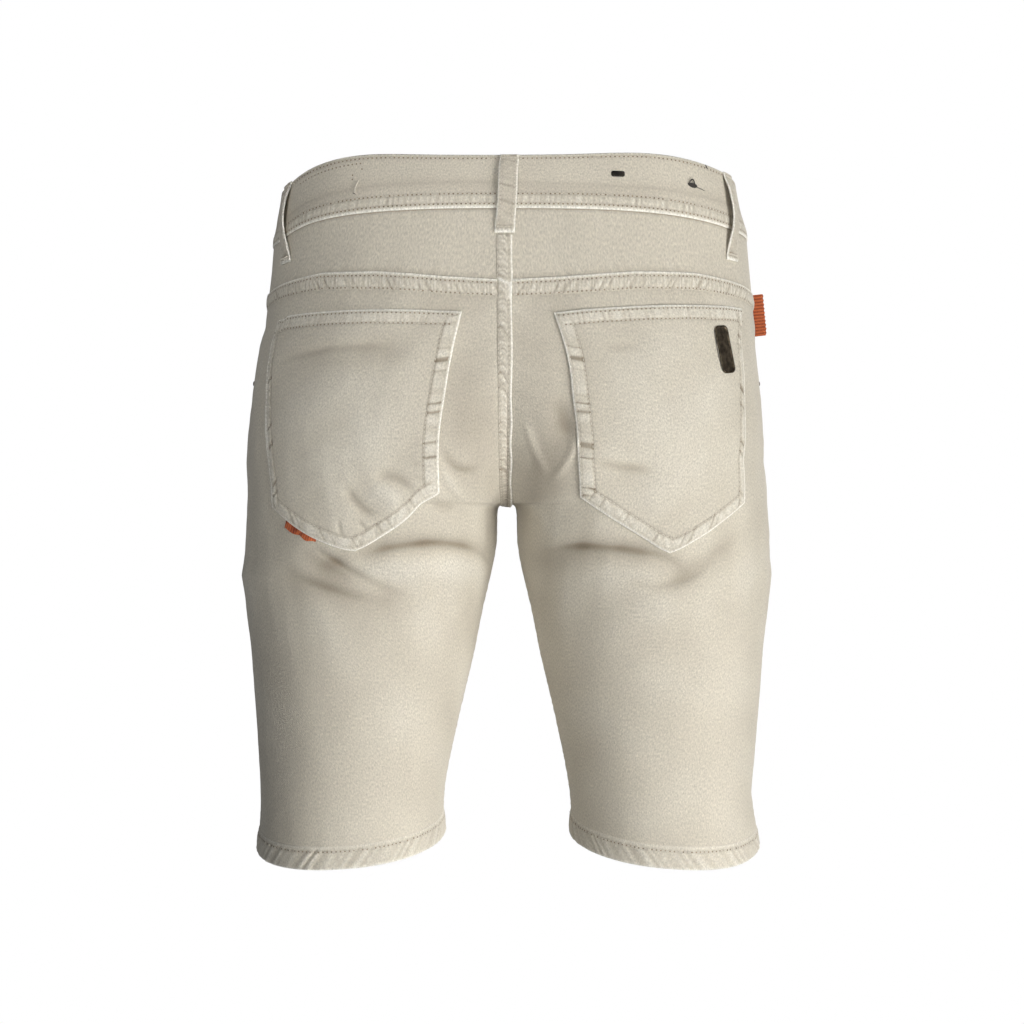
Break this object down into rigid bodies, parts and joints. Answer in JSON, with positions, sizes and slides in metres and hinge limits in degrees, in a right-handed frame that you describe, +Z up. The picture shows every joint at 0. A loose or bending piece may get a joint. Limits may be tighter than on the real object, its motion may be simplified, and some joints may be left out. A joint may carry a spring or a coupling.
{
  "type": "bermuda shorts",
  "caption": "Five-pocket bermuda shorts in ecru stretch denim, open at waist and hems as if worn, with yoke, patch pockets, belt loops and a buttoned fly front.",
  "frame": {"origin": "middle of the waist opening, level with the top edge of the waistband at the sides", "axes": "+Z up, the fly faces -Y, the seat faces +Y, +X is the wearer's left"},
  "size_m": [0.399, 0.2334, 0.5174],
  "materials": {
    "denim": "matt ecru stretch denim, washed, with worn edges",
    "rust_ribbon": "matt ribbed rust ribbon",
    "dark_metal": "dull dark bronze"
  },
  "bodies": {
    "root": {"waistband": "denim", "yoke_left": "denim", "yoke_right": "denim", "back_left": "denim", "back_right": "denim", "front_left": "denim", "front_right": "denim", "pocket_facing_left": "denim", "pocket_facing_right": "denim", "fly": "denim", "back_pocket_left": "denim", "back_pocket_right": "denim", "hem_left": "denim", "hem_right": "denim", "seat_fell": "denim", "yoke_fell_left": "denim", "yoke_fell_right": "denim", "belt_loop_back": "denim", "belt_loop_back_left": "denim", "belt_loop_back_right": "denim", "belt_loop_front_left": "denim", "belt_loop_front_right": "denim", "side_tab": "rust_ribbon", "pocket_tab": "rust_ribbon", "badge": "dark_metal", "waist_button": "dark_metal", "rivet_upper_left": "dark_metal", "rivet_upper_right": "dark_metal", "rivet_lower_left": "dark_metal", "rivet_lower_right": "dark_metal"}
  },
  "joints": []
}
